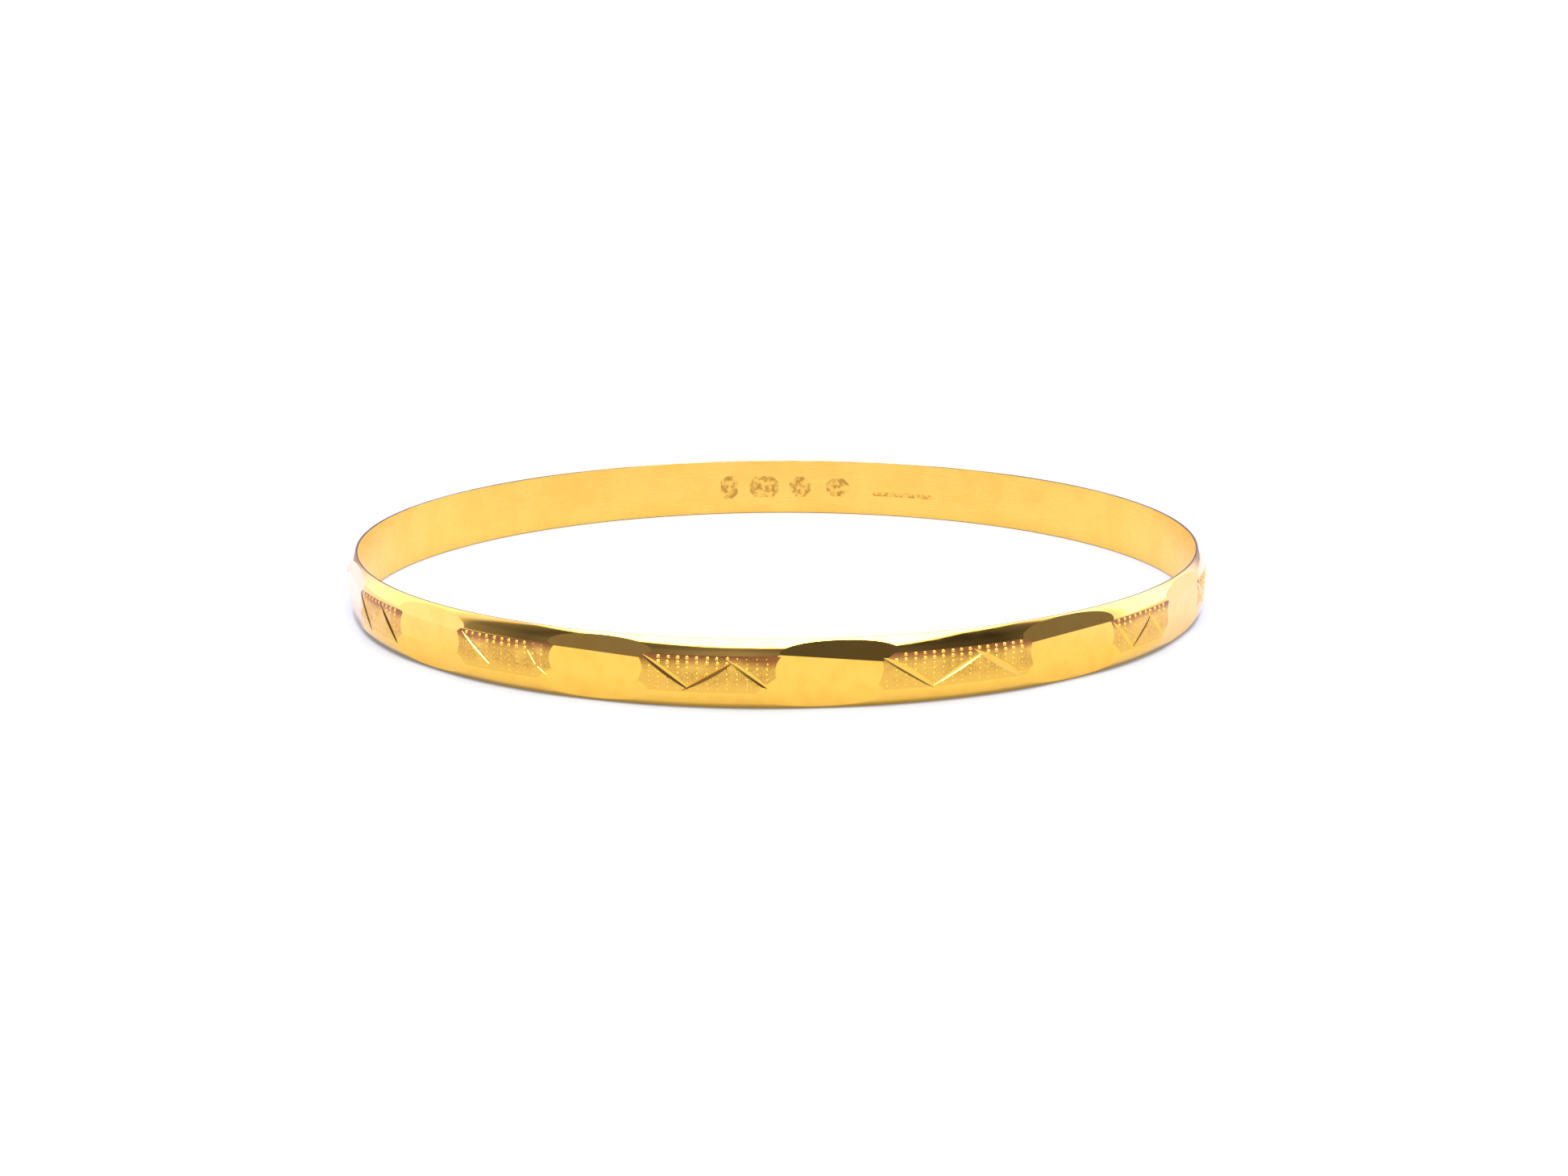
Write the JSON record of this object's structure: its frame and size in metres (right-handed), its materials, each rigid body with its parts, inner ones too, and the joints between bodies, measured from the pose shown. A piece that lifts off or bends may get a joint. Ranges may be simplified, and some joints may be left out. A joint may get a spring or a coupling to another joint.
{
  "type": "bangle bracelet",
  "caption": "Closed rigid gold bangle with a low D-section, bright-cut flats alternating with matt beaded panels that carry V-cut zigzags.",
  "frame": {"origin": "the middle of the ring at mid height, on its axis", "axes": "+Z along the ring's axis, upwards when the bangle lies flat; -Y is the front, where a beaded panel ends and a flat begins"},
  "size_m": [0.0652, 0.0652, 0.0046],
  "materials": {
    "gold": "polished yellow gold with mirror-bright cut flats, a matt beaded ground between them and a satin inside",
    "gold_solder": "filed and polished hard gold solder, very slightly paler than the band"
  },
  "bodies": {
    "root": {"band": "gold", "solder_seam": "gold_solder"}
  },
  "joints": []
}
